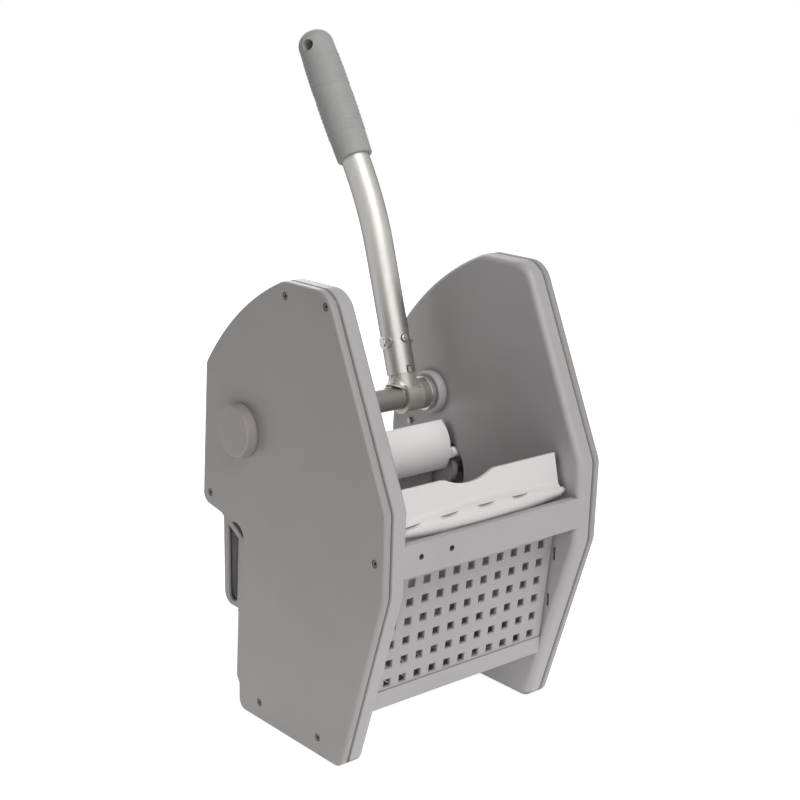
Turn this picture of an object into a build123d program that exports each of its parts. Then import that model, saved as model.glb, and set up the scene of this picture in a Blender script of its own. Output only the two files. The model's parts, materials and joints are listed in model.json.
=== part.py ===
from build123d import *
from math import atan, cos, degrees, radians, sin
import os

os.makedirs("parts", exist_ok=True)

# Mop wringer that hangs on a bucket rim or stands on its two hollow sides.
# All sizes are millimetres and degrees. X runs across, +Y to the back, +Z up.
# Heights are measured from the floor, depths from the front face of the front bar.

# Body and its two hollow sides
BODY_W = 288.0          # across the two flat cover faces
BODY_H = 480.0          # floor to the flat top
SIDE_T = 29.5           # one hollow side, shell and cover together
COVER_T = 9.5           # the cover's share of that
SHELL_WALL = 4.0        # wall of the moulded shell
COVER_WALL = 3.0        # wall of the cover
EDGE_R = 7.0            # soft inner edge of each side
RIM_R = 3.0             # outer rim of each cover
SEAM = 2.0              # bevel on both lips of the parting line

# Side outline, depth and height of its corners
BASE_FRONT = 64.0
LOW_BEND_Z = 199.0
HIGH_BEND_Z = 284.7
NOSE_OUT = 2.2          # how far the upper bend stands ahead of the front bar
TOP_FRONT = 85.7
TOP_BACK = 156.8
BACK_ARC_R = 312.8
BACK_TOP = 293.6
BACK_TOP_Z = 373.4
BACK_LOW = 304.3
BACK_LOW_Z = 218.8
OVERHANG_RISE = 0.18    # slope of the underside that sits on the bucket rim
BASE_BACK = 241.3
HEEL_OUT = 4.7          # swell of the rear edge above the foot
HEEL_Z = 36.0
FOOT_Z = 29.0
TOE_R = 13.0            # radii that round the corners, in turn from the front foot
LOW_BEND_R = 25.0
HIGH_BEND_R = 18.0
TOP_FRONT_R = 28.0
TOP_BACK_R = 30.0
BACK_TOP_R = 13.0
BACK_LOW_R = 12.0
FIN_TOP_R = 1.5
FIN_LOW_R = 13.0
FIN_ROOT_R = 3.0
HEEL_R = 3.5
FOOT_R = 11.0

# Looped fin behind the base
FIN_OUT = 27.3          # how far it stands out behind the base
FIN_LOW_Z = 113.0
FIN_SINK = 2.5          # its face lies that much below the cover face
FIN_T = 3.0
FIN_LAP = 4.0           # lap under the cover face
FIN_ROUND_R = 1.2
FIN_RIM = 8.4
FIN_FLOOR = 6.0
FIN_POCKET_R = 5.5
FIN_POCKET_SLANT = 4.5
FIN_BAND = 9.4
FIN_BAND_DROP = 11.0
FIN_ROOT_UP = 74.0
FIN_ROOT_LEAN = 7.8
FIN_NOTCH_IN = 19.6     # tip of the notch ahead of the fin's back
FIN_NOTCH_LONG = 21.2
FIN_NOTCH_DROP = 13.3
FIN_NOTCH_BOW = 5.0
FIN_NOTCH_GAP = 5.5     # open wedge between the cover face and the band

# Front bar, shelf, lip and rear wall between the sides
BAR_LOW_Z = 214.6
BAR_H = 33.4
BAR_T = 8.0
SHELF_T = 4.0
LIP_LOW_Z = 60.2
LIP_H = 19.5
LIP_T = 4.0
LIP_PROUD = 1.2         # how far it stands ahead of the sieve
LIP_DEEP = 5.0          # ledge under the sieve and its floor
REAR_WALL = 225.0
REAR_WALL_T = 4.0
REAR_WALL_TOP_Z = 240.0
BAR_HOLE_R = 3.0
BAR_HOLES = (-96.5, -57.7)
BAR_HOLE_DROP = 14.7
BAR_EDGE_R = 1.5
WALL_PIN_R = 3.5
WALL_PIN_PROUD = 4.0
WALL_PIN_BACK = 265.0
WALL_PIN_Z = 272.0
PIN_ROUND_R = 1.0

# Sieve
SIEVE_TOP = 33.6        # depth of its face at the top row of holes
SIEVE_TOP_Z = 191.8
SIEVE_LEAN = 0.12
SIEVE_T = 3.0
SIEVE_COLS = 11
SIEVE_ROWS = 6
SIEVE_PITCH_X = 19.76
SIEVE_PITCH_Z = 21.14
SIEVE_HOLE = 9.4
SIEVE_HOLE_BACK = 8.2
SIEVE_LET_IN = 1.5      # how far its edges sit in the side walls
FLOOR_T = 4.0
FLOOR_SLOT_W = 6.0
FLOOR_SLOTS = 9
FLOOR_MARGIN = 14.0
SLIT_W = 3.0
SLIT_H = 14.0
SLIT_AHEAD = 5.3
SLIT_HEIGHTS = (179.0, 125.0)

# Shaft, bushes and rings
SHAFT_R = 12.5
SHAFT_BACK = 227.7
SHAFT_Z = 314.6
JOURNAL_R = 10.0
BEARING_GAP = 0.05
BUSH_R = 24.0
BUSH_T = 10.5
BUSH_BARREL_R = 15.5
RING_R = 19.2
RING_T = 6.0
RING_GAP = 0.3
SPACER_R = 17.0
BOSS_BASE_R = 28.0
BOSS_FACE_R = 26.6
BOSS_H = 12.5
BOSS_SKIN = 2.7
BOSS_EDGE_R = 1.5
JOURNAL_BEVEL = 1.0
BUSH_BEVEL = 1.5
RING_BEVEL = 0.6

# Press linkage inside the hollow sides
ARM_BACK = 210.6        # pivot of the press arms
ARM_Z = 230.2
STUB_REACH = 28.5
STUB_ANGLE = 131.0
STUB_R = 6.0
STUB_KEY = 8.0
STUB_KEY_DEPTH = 5.0
SWING_ANGLE = 95.0
SLOT_W = 17.5
SLOT_SPARE_ANGLE = 4.0
SLOT_RIM_W = 3.5
SLOT_RIM_H = 3.0
LINK_REACH = 32.0
LINK_ANGLE = 121.0
LINK_PIN_R = 5.0
LINK_T = 5.0
EYE_R = 9.0
ARM_T = 8.0
ARM_HUB_R = 12.0
CRANK_HUB_R = 20.0
PIVOT_PIN_R = 6.0
PIVOT_BOSS_R = 10.0
PIVOT_SKIN = 1.5
LAYER_GAP = 0.5
CLIP_R = 8.0
CLIP_GROOVE_R = 4.2
CLIP_T = 1.2
PIN_TAIL = 1.0
CROSS_PIN_R = 2.5
CROSS_PIN_SHORT = 1.0

# Rear press plate
PRESS_GAP = 5.0         # between plate ends and side walls
PRESS_ARC_R = 37.8
PRESS_ARC_BACK = 226.3
PRESS_ARC_Z = 255.9
PRESS_FROM_ANGLE = 120.7
PRESS_TO_ANGLE = 219.8
PRESS_T = 6.5
CHEEK_T = 4.0
PRESS_EDGE_R = 2.8

# Front press plate with its crowned roll
FLAP_BACK = 21.7
FLAP_RISE = 4.0         # its axis above the top of the bar
FLAP_LEAN = 12.4
FLAP_H = 40.2
FLAP_T = 4.5
FLAP_CORNER_R = 5.0
SCALLOP_X = -9.5        # the scallop in its upper edge sits a little to the left
SCALLOP_W = 66.0
SCALLOP_H = 8.2
SCALLOP_LIP_R = 12.0
ROLL_MID_R = 13.2
ROLL_END_R = 5.2
ROLL_BLEND_R = 7.0
NUB_R = 3.5
NUB_LONG = 3.0
DENTS = 4
DENT_PITCH = 49.0
DENT_SHIFT = -24.5
DENT_R = 30.0
DENT_DEPTH = 3.0
DENT_H = 3.6
DENT_ANGLE = 38.0
STOP_PIN_R = 4.0
STOP_PIN_LONG = 9.0
STOP_UP = 31.0
STOP_GAP = 0.1

# Handle
HANDLE_X = 74.0
TUBE_R = 16.0
TUBE_WALL = 1.6
TUBE_START = 26.0
LEAN_LOW = 16.7
LEAN_HIGH = 31.2
BEND_START = 165.4
BEND_R = 350.0
GRIP_R = 20.0
GRIP_BELLY_R = 21.3
GRIP_START = 17.0
GRIP_END = 172.0
GRIP_CAP_R = 16.5
GRIP_LIP_R = 1.5
HANG_R = 6.3
HANG_ANGLE = 24.0
HANG_FROM_END = 19.4
HANG_WALL = 6.0
HUB_LEFT = 9.0
HUB_RIGHT = 15.0
HUB_R = 17.0
HUB_BEAD = 1.2
HUB_BEAD_T = 3.0
STEM_GAP = 0.1
STEM_LONG = 80.0
BRANCH_R = 14.9
RIDGE_W = 2.2
RIDGE_PROUD = 0.9
GUSSET_T = 9.0
GUSSET_OUT = 9.0
GUSSET_UP = 10.0
GUSSET_LOW = 13.5
BOLT_UP = 62.5
BOLT_R = 3.0
BOLT_HEAD_R = 4.6
BOLT_HEAD_H = 1.6
BOLT_EDGE_R = 0.8
BOLT_TAIL = 1.5
NUT_R = 5.4
NUT_H = 5.0
SADDLE_T = 2.4
SADDLE_H = 14.0
SADDLE_W = 21.5
BUTTON_R = 4.2
BUTTON_PROUD = 2.0
BUTTON_UP = 64.0
BUTTON_DEEP = 3.0
BUTTON_GAP = 0.7
BUTTON_EDGE_R = 1.2
NOTCH_W = 8.0
NOTCH_H = 8.0
KEY_GAP = 1.5
TEE_SCREW_R = 2.5
TEE_SCREW_IN = 6.0
TEE_SCREW_ANGLE = 130.0
TEE_SCREW_PROUD = 1.5
TEE_SCREW_DEEP = 4.0

# Cover screws
SCREW_FRONT_IN = 2.3
SCREW_PEAK_IN = 4.7
SCREW_TOP_DOWN = 14.2
SCREW_REAR_IN = 15.6
SCREW_REAR_UP = 12.6
SCREW_NOSE_IN = 12.0
SCREW_NOSE_UP = 34.7
SCREW_HEEL_IN = 39.5
SCREW_TOE_IN = 36.2
SCREW_FOOT_UP = 20.4
SCREW_R = 2.0
SCREW_TIP_GAP = 0.5
SCREW_CLEAR = 0.3
SCREW_HEAD_R = 3.6
SCREW_HEAD_H = 2.6
SCREW_SINK = 3.2
SINK_R = 4.2
SCREW_LONG = 20.0
SCREW_HEX_R = 1.7
SCREW_HEX_DEEP = 1.3
POST_R = 6.0

# Places that follow from the sizes above
bend_turn = LEAN_HIGH - LEAN_LOW
low_y = sin(radians(LEAN_LOW))
low_z = cos(radians(LEAN_LOW))
high_y = sin(radians(LEAN_HIGH))
high_z = cos(radians(LEAN_HIGH))
bend_back = SHAFT_BACK + BEND_START * low_y + BEND_R * (low_z - high_z)
bend_up = SHAFT_Z + BEND_START * low_z + BEND_R * (high_y - low_y)
DEPTH = bend_back + (GRIP_END - GRIP_CAP_R) * high_y + (GRIP_R - GRIP_CAP_R) * high_z + GRIP_CAP_R
front_y = (NOSE_OUT - DEPTH) / 2

x_out = BODY_W / 2
x_seam = x_out - COVER_T
x_in = x_out - SIDE_T
x_wall = x_in + SHELL_WALL
x_cover = x_out - COVER_WALL
x_arm = x_wall + SLOT_RIM_H + LAYER_GAP
x_link = x_arm + ARM_T + LAYER_GAP
x_clip = x_link + LINK_T + LAYER_GAP
x_pin_end = x_clip + CLIP_T + PIN_TAIL
x_bush = x_in - BUSH_T
x_ring = x_bush - RING_GAP - RING_T
x_journal_end = x_out + BOSS_H - BOSS_SKIN - LAYER_GAP
x_press = x_in - PRESS_GAP
x_cross_pin = x_arm + ARM_T / 2

stem_r = TUBE_R - TUBE_WALL - STEM_GAP
tube_top = GRIP_END - HANG_FROM_END - HANG_R - HANG_WALL
boss_taper = degrees(atan((BOSS_BASE_R - BOSS_FACE_R) / BOSS_H))
flap_y = sin(radians(FLAP_LEAN))
flap_z = cos(radians(FLAP_LEAN))
bar_top_z = BAR_LOW_Z + BAR_H
flap_axis_z = bar_top_z + FLAP_RISE
floor_z = LIP_LOW_Z + LIP_T
lip_top_z = LIP_LOW_Z + LIP_H
slot_sweep = SWING_ANGLE + 2 * SLOT_SPARE_ANGLE
stub_at = (
    ARM_BACK + STUB_REACH * cos(radians(STUB_ANGLE)),
    ARM_Z + STUB_REACH * sin(radians(STUB_ANGLE)),
)
pin_step = (LINK_REACH * cos(radians(LINK_ANGLE)), LINK_REACH * sin(radians(LINK_ANGLE)))
arm_pin = (ARM_BACK + pin_step[0], ARM_Z + pin_step[1])
crank_pin = (SHAFT_BACK + pin_step[0], SHAFT_Z + pin_step[1])
fin_back = BASE_BACK + FIN_OUT

screw_points = [
    (TOP_FRONT + SCREW_FRONT_IN, BODY_H - SCREW_TOP_DOWN),
    (TOP_BACK - SCREW_PEAK_IN, BODY_H - SCREW_TOP_DOWN),
    (BACK_LOW - SCREW_REAR_IN, BACK_LOW_Z + SCREW_REAR_UP),
    (SCREW_NOSE_IN, LOW_BEND_Z + SCREW_NOSE_UP),
    (BASE_BACK - SCREW_HEEL_IN, SCREW_FOOT_UP),
    (BASE_FRONT + SCREW_TOE_IN, SCREW_FOOT_UP),
]


def side_plane(x):
    """Plane seen from +X whose axes are depth behind the front face and height."""
    return Plane(origin=(x, front_y, 0), x_dir=(0, 1, 0), z_dir=(1, 0, 0))


def stem_plane(up):
    """Plane across the lower handle axis, at a distance up from the shaft."""
    return Plane(
        origin=(HANDLE_X, front_y + SHAFT_BACK + up * low_y, SHAFT_Z + up * low_z),
        x_dir=(1, 0, 0),
        z_dir=(0, low_y, low_z),
    )


def stem_front(up):
    """Plane through the lower handle axis that faces the front."""
    return Plane(origin=stem_plane(up).origin, x_dir=(1, 0, 0), z_dir=(0, -low_z, low_y))


def cross_pin_plane(x):
    """Plane through the shaft axis whose normal is square to the crank."""
    angle = radians(LINK_ANGLE + 90)
    return Plane(
        origin=(x, front_y + SHAFT_BACK, SHAFT_Z),
        x_dir=(1, 0, 0),
        z_dir=(0, cos(angle), sin(angle)),
    )


def sieve_face(z):
    """Depth of the sieve's front face at a height."""
    return SIEVE_TOP + SIEVE_LEAN * (SIEVE_TOP_Z - z)


def roll_radius(x):
    """Radius of the crowned roll at a place across."""
    return ROLL_MID_R - (ROLL_MID_R - ROLL_END_R) * (x / x_press) ** 2


def is_leaf_foot(edge):
    """True for the long edge where the leaf's front face meets the roll."""
    middle = flap_plane.to_local_coords(edge @ 0.5)
    return edge.length > x_press and abs(middle.Z) < STOP_GAP and middle.Y < FLAP_H / 2


def underside_z(back):
    """Height of the sloping underside of the overhang at a depth."""
    return BACK_LOW_Z - OVERHANG_RISE * (BACK_LOW - back)


# Outline of one side, fin included: each corner with the radius that rounds it
side_corners = [
    ((BASE_FRONT, 0), TOE_R),
    ((0, LOW_BEND_Z), LOW_BEND_R),
    ((-NOSE_OUT, HIGH_BEND_Z), HIGH_BEND_R),
    ((TOP_FRONT, BODY_H), TOP_FRONT_R),
    ((TOP_BACK, BODY_H), TOP_BACK_R),
    ((BACK_TOP, BACK_TOP_Z), BACK_TOP_R),
    ((BACK_LOW, BACK_LOW_Z), BACK_LOW_R),
    ((fin_back, underside_z(fin_back)), FIN_TOP_R),
    ((fin_back, FIN_LOW_Z), FIN_LOW_R),
    ((BASE_BACK, FIN_LOW_Z), FIN_ROOT_R),
    ((BASE_BACK + HEEL_OUT, HEEL_Z), HEEL_R),
    ((BASE_BACK, FOOT_Z), HEEL_R),
    ((BASE_BACK, 0), FOOT_R),
]
side_points = [point for point, radius in side_corners]
with BuildSketch() as side_profile:
    with BuildLine():
        Polyline(*side_points[:5])
        RadiusArc(side_points[4], side_points[5], BACK_ARC_R)
        Polyline(*side_points[5:], side_points[0])
    make_face()
    for point, radius in side_corners:
        fillet(vertices().sort_by_distance((*point, 0))[0], radius)

# Sections of the leaning sieve and of the floor behind its foot
with BuildSketch() as sieve_profile:
    with BuildLine():
        Polyline(
            (sieve_face(BAR_LOW_Z), BAR_LOW_Z),
            (sieve_face(floor_z), floor_z),
            (sieve_face(floor_z) + SIEVE_T, floor_z),
            (sieve_face(BAR_LOW_Z) + SIEVE_T, BAR_LOW_Z),
            close=True,
        )
    make_face()
with BuildSketch() as floor_profile:
    with BuildLine():
        Polyline(
            (sieve_face(floor_z) + SIEVE_T, floor_z),
            (REAR_WALL, floor_z),
            (REAR_WALL, floor_z + FLOOR_T),
            (sieve_face(floor_z + FLOOR_T) + SIEVE_T, floor_z + FLOOR_T),
            close=True,
        )
    make_face()

front_plane = Plane(origin=(0, front_y, 0), x_dir=(1, 0, 0), z_dir=(0, -1, 0))
stop_deep = FLAP_T + STOP_GAP + STOP_PIN_R
stop_point = (
    FLAP_BACK + STOP_UP * flap_y + stop_deep * flap_z,
    flap_axis_z + STOP_UP * flap_z - stop_deep * flap_y,
)
shaft_point = (SHAFT_BACK, SHAFT_Z)
arm_point = (ARM_BACK, ARM_Z)
bolt_point = (SHAFT_BACK + BOLT_UP * low_y, SHAFT_Z + BOLT_UP * low_z)
slot_arc = CenterArc(arm_point, STUB_REACH, STUB_ANGLE - SLOT_SPARE_ANGLE, slot_sweep)

# Moulded body: the right shell is drawn and mirrored, then bar, shelf, lip and rear wall join them
with BuildPart() as body_frame:
    with BuildSketch(side_plane(x_seam)):
        add(side_profile.sketch)
    extrude(amount=x_in - x_seam)
    fillet(faces().sort_by(Axis.X)[0].edges(), EDGE_R)
    chamfer(faces().sort_by(Axis.X)[-1].edges(), SEAM)
    with BuildSketch(side_plane(x_seam)):
        offset(side_profile.sketch, amount=-SHELL_WALL)
    extrude(amount=x_wall - x_seam, mode=Mode.SUBTRACT)
    # screw posts with blind pilot holes
    with BuildSketch(side_plane(x_wall)):
        with Locations(*screw_points):
            Circle(POST_R)
    extrude(amount=x_seam - x_wall)
    with BuildSketch(side_plane(x_seam)):
        with Locations(*screw_points):
            Circle(SCREW_R)
    extrude(amount=COVER_T - SCREW_SINK - SCREW_LONG - SCREW_TIP_GAP, mode=Mode.SUBTRACT)
    # arc slot with its rim, and the boss of the arm pivot
    with BuildSketch(side_plane(x_wall)):
        SlotArc(slot_arc, SLOT_W + 2 * SLOT_RIM_W)
        with Locations(arm_point):
            Circle(PIVOT_BOSS_R)
    extrude(amount=SLOT_RIM_H)
    with BuildSketch(side_plane(x_in)):
        SlotArc(slot_arc, SLOT_W)
        with Locations(shaft_point):
            Circle(BUSH_BARREL_R)
        with Locations((FLAP_BACK, flap_axis_z)):
            Circle(NUB_R + BEARING_GAP)
        with Locations(*[(sieve_face(z) - SLIT_AHEAD, z) for z in SLIT_HEIGHTS]):
            Rectangle(SLIT_W, SLIT_H)
    extrude(amount=SHELL_WALL + SLOT_RIM_H, mode=Mode.SUBTRACT)
    with BuildSketch(side_plane(x_in + PIVOT_SKIN)):
        with Locations(arm_point):
            Circle(PIVOT_PIN_R)
    extrude(amount=SHELL_WALL + SLOT_RIM_H - PIVOT_SKIN, mode=Mode.SUBTRACT)
    # groove for the sieve and floor, holes for the stop pin behind the front plate and the small wall pin
    with BuildSketch(side_plane(x_in)):
        add(sieve_profile.sketch)
        add(floor_profile.sketch)
    extrude(amount=SIEVE_LET_IN, mode=Mode.SUBTRACT)
    with BuildSketch(side_plane(x_in)):
        with Locations(stop_point):
            Circle(STOP_PIN_R)
        with Locations((WALL_PIN_BACK, WALL_PIN_Z)):
            Circle(WALL_PIN_R)
    extrude(amount=SHELL_WALL, mode=Mode.SUBTRACT)
    mirror(about=Plane.YZ)
    # the front bar runs over the soft edges of the sides, so that their faces are flush
    with BuildSketch(side_plane(0)) as bar_section:
        with BuildLine():
            Polyline((0, BAR_LOW_Z), (BAR_T, BAR_LOW_Z), (BAR_T, bar_top_z), (0, bar_top_z), close=True)
        make_face()
        fillet(bar_section.vertices().group_by(Axis.X)[0], BAR_EDGE_R)
    extrude(amount=x_in + EDGE_R, both=True)
    # shelf under the bar, lip that holds the foot of the sieve, and rear wall
    with BuildSketch(side_plane(0)):
        with BuildLine():
            Polyline(
                (sieve_face(LIP_LOW_Z) - LIP_PROUD, LIP_LOW_Z),
                (sieve_face(LIP_LOW_Z) + LIP_DEEP, LIP_LOW_Z),
                (sieve_face(LIP_LOW_Z) + LIP_DEEP, floor_z),
                (sieve_face(floor_z), floor_z),
                (sieve_face(lip_top_z), lip_top_z),
                (sieve_face(lip_top_z) - LIP_PROUD, lip_top_z),
                close=True,
            )
        make_face()
        with BuildLine():
            Polyline(
                (BAR_T / 2, BAR_LOW_Z),
                (sieve_face(BAR_LOW_Z) + SIEVE_T, BAR_LOW_Z),
                (sieve_face(BAR_LOW_Z) + SIEVE_T, BAR_LOW_Z + SHELF_T),
                (BAR_T / 2, BAR_LOW_Z + SHELF_T),
                close=True,
            )
        make_face()
        with BuildLine():
            Polyline(
                (REAR_WALL, floor_z),
                (REAR_WALL + REAR_WALL_T, floor_z),
                (REAR_WALL + REAR_WALL_T, REAR_WALL_TOP_Z),
                (REAR_WALL, REAR_WALL_TOP_Z),
                close=True,
            )
        make_face()
    extrude(amount=x_in + SHELL_WALL / 2, both=True)
    with BuildSketch(front_plane):
        with Locations(*[(x, bar_top_z - BAR_HOLE_DROP) for x in BAR_HOLES]):
            Circle(BAR_HOLE_R)
    extrude(amount=-BAR_T, mode=Mode.SUBTRACT)
body_frame.part.label = "body_frame"
export_step(body_frame.part, "parts/body_frame.step")

# Pins in the side walls: stops behind the front plate, and small round ones near the back
with BuildPart() as stop_pins:
    with BuildSketch(side_plane(x_wall)):
        with Locations(stop_point):
            Circle(STOP_PIN_R)
    extrude(amount=-SHELL_WALL - STOP_PIN_LONG)
    fillet(faces().sort_by(Axis.X)[0].edges(), PIN_ROUND_R)
    mirror(about=Plane.YZ)
stop_pins.part.label = "stop_pins"
export_step(stop_pins.part, "parts/stop_pins.step")

with BuildPart() as wall_pins:
    with BuildSketch(side_plane(x_wall)):
        with Locations((WALL_PIN_BACK, WALL_PIN_Z)):
            Circle(WALL_PIN_R)
    extrude(amount=-SHELL_WALL - WALL_PIN_PROUD)
    fillet(faces().sort_by(Axis.X)[0].edges(), PIN_ROUND_R)
    mirror(about=Plane.YZ)
wall_pins.part.label = "wall_pins"
export_step(wall_pins.part, "parts/wall_pins.step")

# Looped fin of a cover: a sunk plate round a tall pocket, with a slanting band at its top
notch_tip = (fin_back - FIN_NOTCH_IN, underside_z(fin_back - FIN_NOTCH_IN))
notch_end = (notch_tip[0] - FIN_NOTCH_LONG, notch_tip[1] - FIN_NOTCH_DROP)
fin_root = (BASE_BACK - FIN_ROOT_LEAN, FIN_LOW_Z + FIN_ROOT_UP)
band_tip = (notch_tip[0] + FIN_NOTCH_GAP, notch_tip[1])
band_end = (notch_end[0] + FIN_NOTCH_GAP, notch_end[1])
lap_step = FIN_LAP / (FIN_NOTCH_LONG**2 + FIN_NOTCH_DROP**2) ** 0.5
pocket_top = underside_z(fin_back) - FIN_BAND
with BuildSketch() as fin_pocket:
    with BuildLine():
        Polyline(
            (fin_back - FIN_RIM, FIN_LOW_Z + FIN_FLOOR),
            (fin_back - FIN_RIM, pocket_top),
            (BASE_BACK, pocket_top - FIN_BAND_DROP),
            (BASE_BACK + FIN_POCKET_SLANT, FIN_LOW_Z + FIN_FLOOR),
            close=True,
        )
    make_face()
    fillet(fin_pocket.vertices().group_by(Axis.Y)[0], FIN_POCKET_R)
    fillet(fin_pocket.vertices().group_by(Axis.Y)[-1], FIN_ROUND_R)
with BuildPart() as fin_plate:
    with BuildSketch(side_plane(x_out - FIN_SINK)):
        add(side_profile.sketch)
        with BuildLine():
            Polyline(
                (fin_back + FIN_LAP, underside_z(fin_back) + FIN_LAP),
                (band_tip[0] + lap_step * FIN_NOTCH_LONG, band_tip[1] + lap_step * FIN_NOTCH_DROP),
                (band_end[0] - lap_step * FIN_NOTCH_LONG, band_end[1] - lap_step * FIN_NOTCH_DROP),
                (fin_root[0] - FIN_LAP, fin_root[1]),
                (BASE_BACK - FIN_LAP, FIN_LOW_Z),
                (fin_back + FIN_LAP, FIN_LOW_Z),
                close=True,
            )
        make_face(mode=Mode.INTERSECT)
        add(fin_pocket.sketch, mode=Mode.SUBTRACT)
    extrude(amount=-FIN_T)
    fillet(faces().sort_by(Axis.X)[-1].edges(), FIN_ROUND_R)

# Side covers: shallow lids with a round boss over the shaft and the looped fin
with BuildPart() as cover_right:
    with BuildSketch(side_plane(x_seam)):
        add(side_profile.sketch)
    extrude(amount=COVER_T)
    fillet(faces().sort_by(Axis.X)[-1].edges(), RIM_R)
    chamfer(faces().sort_by(Axis.X)[0].edges(), SEAM)
    with BuildSketch(side_plane(x_seam)):
        offset(side_profile.sketch, amount=-COVER_WALL)
    extrude(amount=x_cover - x_seam, mode=Mode.SUBTRACT)
    with BuildSketch(side_plane(x_out)):
        with Locations(shaft_point):
            Circle(BOSS_BASE_R)
    extrude(amount=BOSS_H, taper=boss_taper)
    fillet(faces().sort_by(Axis.X)[-1].edges(), BOSS_EDGE_R)
    with BuildSketch(side_plane(x_seam)):
        with Locations(*screw_points):
            Circle(POST_R)
    extrude(amount=COVER_T - COVER_WALL)
    with BuildSketch(side_plane(x_cover)):
        with Locations(arm_point):
            Circle(PIVOT_BOSS_R)
    extrude(amount=x_link - x_cover)
    with BuildSketch(side_plane(x_link)):
        with Locations(arm_point):
            Circle(PIVOT_PIN_R)
    extrude(amount=x_cover - x_link, mode=Mode.SUBTRACT)
    with BuildSketch(side_plane(x_cover)):
        with Locations(shaft_point):
            Circle(JOURNAL_R + BEARING_GAP)
    extrude(amount=COVER_WALL + BOSS_H - BOSS_SKIN, mode=Mode.SUBTRACT)
    with BuildSketch(side_plane(x_seam)):
        with Locations(*screw_points):
            Circle(SCREW_R + SCREW_CLEAR)
    extrude(amount=COVER_T, mode=Mode.SUBTRACT)
    with BuildSketch(side_plane(x_out)):
        with Locations(*screw_points):
            Circle(SINK_R)
    extrude(amount=-SCREW_SINK, mode=Mode.SUBTRACT)
    # the cover face stops short of the fin, which lies deeper
    with BuildSketch(side_plane(x_out)):
        with BuildLine():
            notch_bow = ThreePointArc(
                notch_tip,
                (notch_tip[0] - FIN_NOTCH_LONG + FIN_NOTCH_BOW, notch_tip[1] - FIN_NOTCH_BOW / 2),
                notch_end,
            )
            Polyline(
                notch_end,
                fin_root,
                (BASE_BACK - RIM_R, FIN_LOW_Z),
                (fin_back + FIN_LAP, FIN_LOW_Z - FIN_LAP),
                (fin_back + FIN_LAP, underside_z(fin_back + FIN_LAP)),
                notch_tip,
            )
        make_face()
    extrude(amount=-COVER_WALL, mode=Mode.SUBTRACT)
    add(fin_plate.part)
cover_right.part.label = "cover_right"
export_step(cover_right.part, "parts/cover_right.step")

with BuildPart() as cover_left:
    mirror(cover_right.part, about=Plane.YZ)
cover_left.part.label = "cover_left"
export_step(cover_left.part, "parts/cover_left.step")

with BuildPart() as cover_screws_right:
    with BuildSketch(side_plane(x_out - SCREW_SINK)):
        with Locations(*screw_points):
            Circle(SCREW_HEAD_R)
    extrude(amount=SCREW_HEAD_H)
    with BuildSketch(side_plane(x_out - SCREW_SINK)):
        with Locations(*screw_points):
            Circle(SCREW_R)
    extrude(amount=-SCREW_LONG)
    with BuildSketch(side_plane(x_out - SCREW_SINK + SCREW_HEAD_H)):
        with Locations(*screw_points):
            RegularPolygon(SCREW_HEX_R, 6)
    extrude(amount=-SCREW_HEX_DEEP, mode=Mode.SUBTRACT)
cover_screws_right.part.label = "cover_screws_right"
export_step(cover_screws_right.part, "parts/cover_screws_right.step")

with BuildPart() as cover_screws_left:
    mirror(cover_screws_right.part, about=Plane.YZ)
cover_screws_left.part.label = "cover_screws_left"
export_step(cover_screws_left.part, "parts/cover_screws_left.step")

# Sieve: a leaning lattice of square funnel holes, and the slotted drain floor behind its foot
sieve_rise = (1 + SIEVE_LEAN**2) ** 0.5
sieve_mid_z = SIEVE_TOP_Z - (SIEVE_ROWS - 1) / 2 * SIEVE_PITCH_Z / sieve_rise
sieve_plane = Plane(
    origin=(0, front_y + sieve_face(sieve_mid_z), sieve_mid_z),
    x_dir=(1, 0, 0),
    z_dir=(0, -1, -SIEVE_LEAN),
)
funnel_taper = degrees(atan((SIEVE_HOLE - SIEVE_HOLE_BACK) / 2 / SIEVE_T))
floor_front = sieve_face(floor_z) + SIEVE_T + FLOOR_MARGIN
floor_long = REAR_WALL - FLOOR_MARGIN - floor_front
with BuildPart() as sieve:
    with BuildSketch(side_plane(0)):
        add(sieve_profile.sketch)
    extrude(amount=x_in + SIEVE_LET_IN, both=True)
    with BuildSketch(sieve_plane):
        with GridLocations(SIEVE_PITCH_X, SIEVE_PITCH_Z, SIEVE_COLS, SIEVE_ROWS):
            Rectangle(SIEVE_HOLE, SIEVE_HOLE)
    extrude(amount=-SIEVE_T, taper=funnel_taper, mode=Mode.SUBTRACT)
sieve.part.label = "sieve"
export_step(sieve.part, "parts/sieve.step")

with BuildPart() as drain_floor:
    with BuildSketch(side_plane(0)):
        add(floor_profile.sketch)
    extrude(amount=x_in + SIEVE_LET_IN, both=True)
    with BuildSketch(Plane.XY.offset(floor_z)):
        with Locations((0, front_y + floor_front + floor_long / 2)):
            with GridLocations(2 * x_in / (FLOOR_SLOTS + 1), 1, FLOOR_SLOTS, 1):
                Rectangle(FLOOR_SLOT_W, floor_long)
    extrude(amount=FLOOR_T, mode=Mode.SUBTRACT)
drain_floor.part.label = "drain_floor"
export_step(drain_floor.part, "parts/drain_floor.step")

# Cross shaft with thinner journals that turn in the cover bosses
with BuildPart() as cross_shaft:
    with BuildSketch(side_plane(0)):
        with Locations(shaft_point):
            Circle(JOURNAL_R)
    extrude(amount=x_journal_end, both=True)
    chamfer(edges().filter_by(GeomType.CIRCLE), JOURNAL_BEVEL)
    with BuildSketch(side_plane(0)):
        with Locations(shaft_point):
            Circle(SHAFT_R)
    extrude(amount=x_arm + ARM_T, both=True)
    for x in (-x_cross_pin, x_cross_pin):
        with BuildSketch(cross_pin_plane(x)):
            Circle(CROSS_PIN_R)
        extrude(amount=CRANK_HUB_R, both=True, mode=Mode.SUBTRACT)
cross_shaft.part.label = "cross_shaft"
export_step(cross_shaft.part, "parts/cross_shaft.step")

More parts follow.
